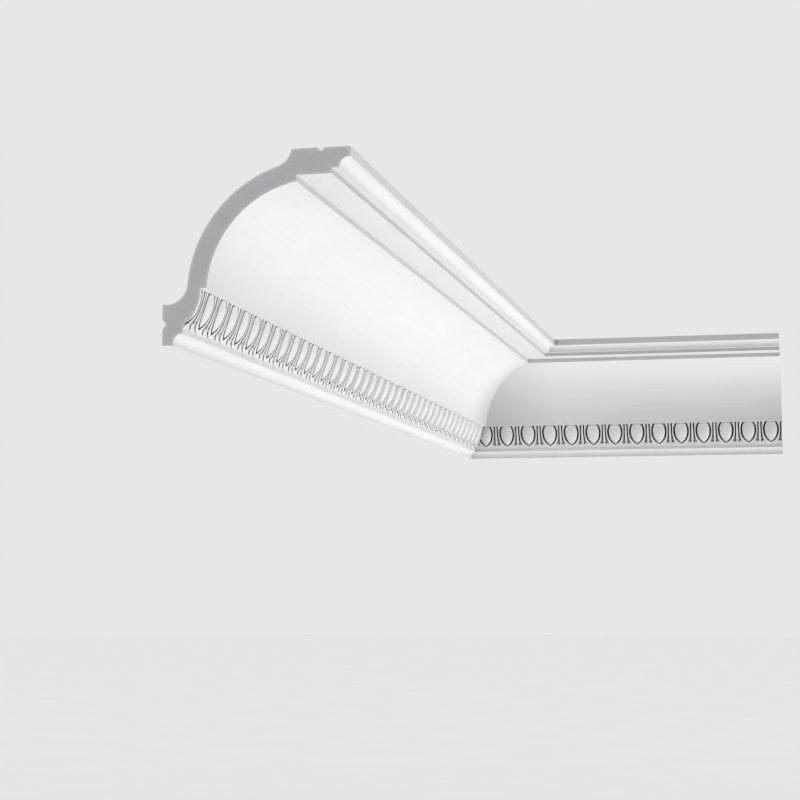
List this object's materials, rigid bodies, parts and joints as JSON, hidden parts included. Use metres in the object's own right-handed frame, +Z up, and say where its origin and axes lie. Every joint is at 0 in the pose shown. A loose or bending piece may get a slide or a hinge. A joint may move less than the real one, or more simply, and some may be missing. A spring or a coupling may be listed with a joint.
{
  "type": "cornice moulding section",
  "caption": "Cove cornice with an egg-and-dart band, a long and a short length mitred at an inside corner, fixed where walls meet the ceiling.",
  "frame": {"origin": "on the face of the long length that meets its wall, midway along the length and in the middle of the flat strip below the adhesive groove", "axes": "+X out from the long length's wall into the room, +Y along the long length towards the inside corner, +Z up to the ceiling"},
  "size_m": [0.448, 1.278, 0.15],
  "materials": {
    "primed_moulding": "matt white primer on rigid polyurethane foam"
  },
  "bodies": {
    "root": {"long_length": "primed_moulding", "short_length": "primed_moulding"}
  },
  "joints": []
}
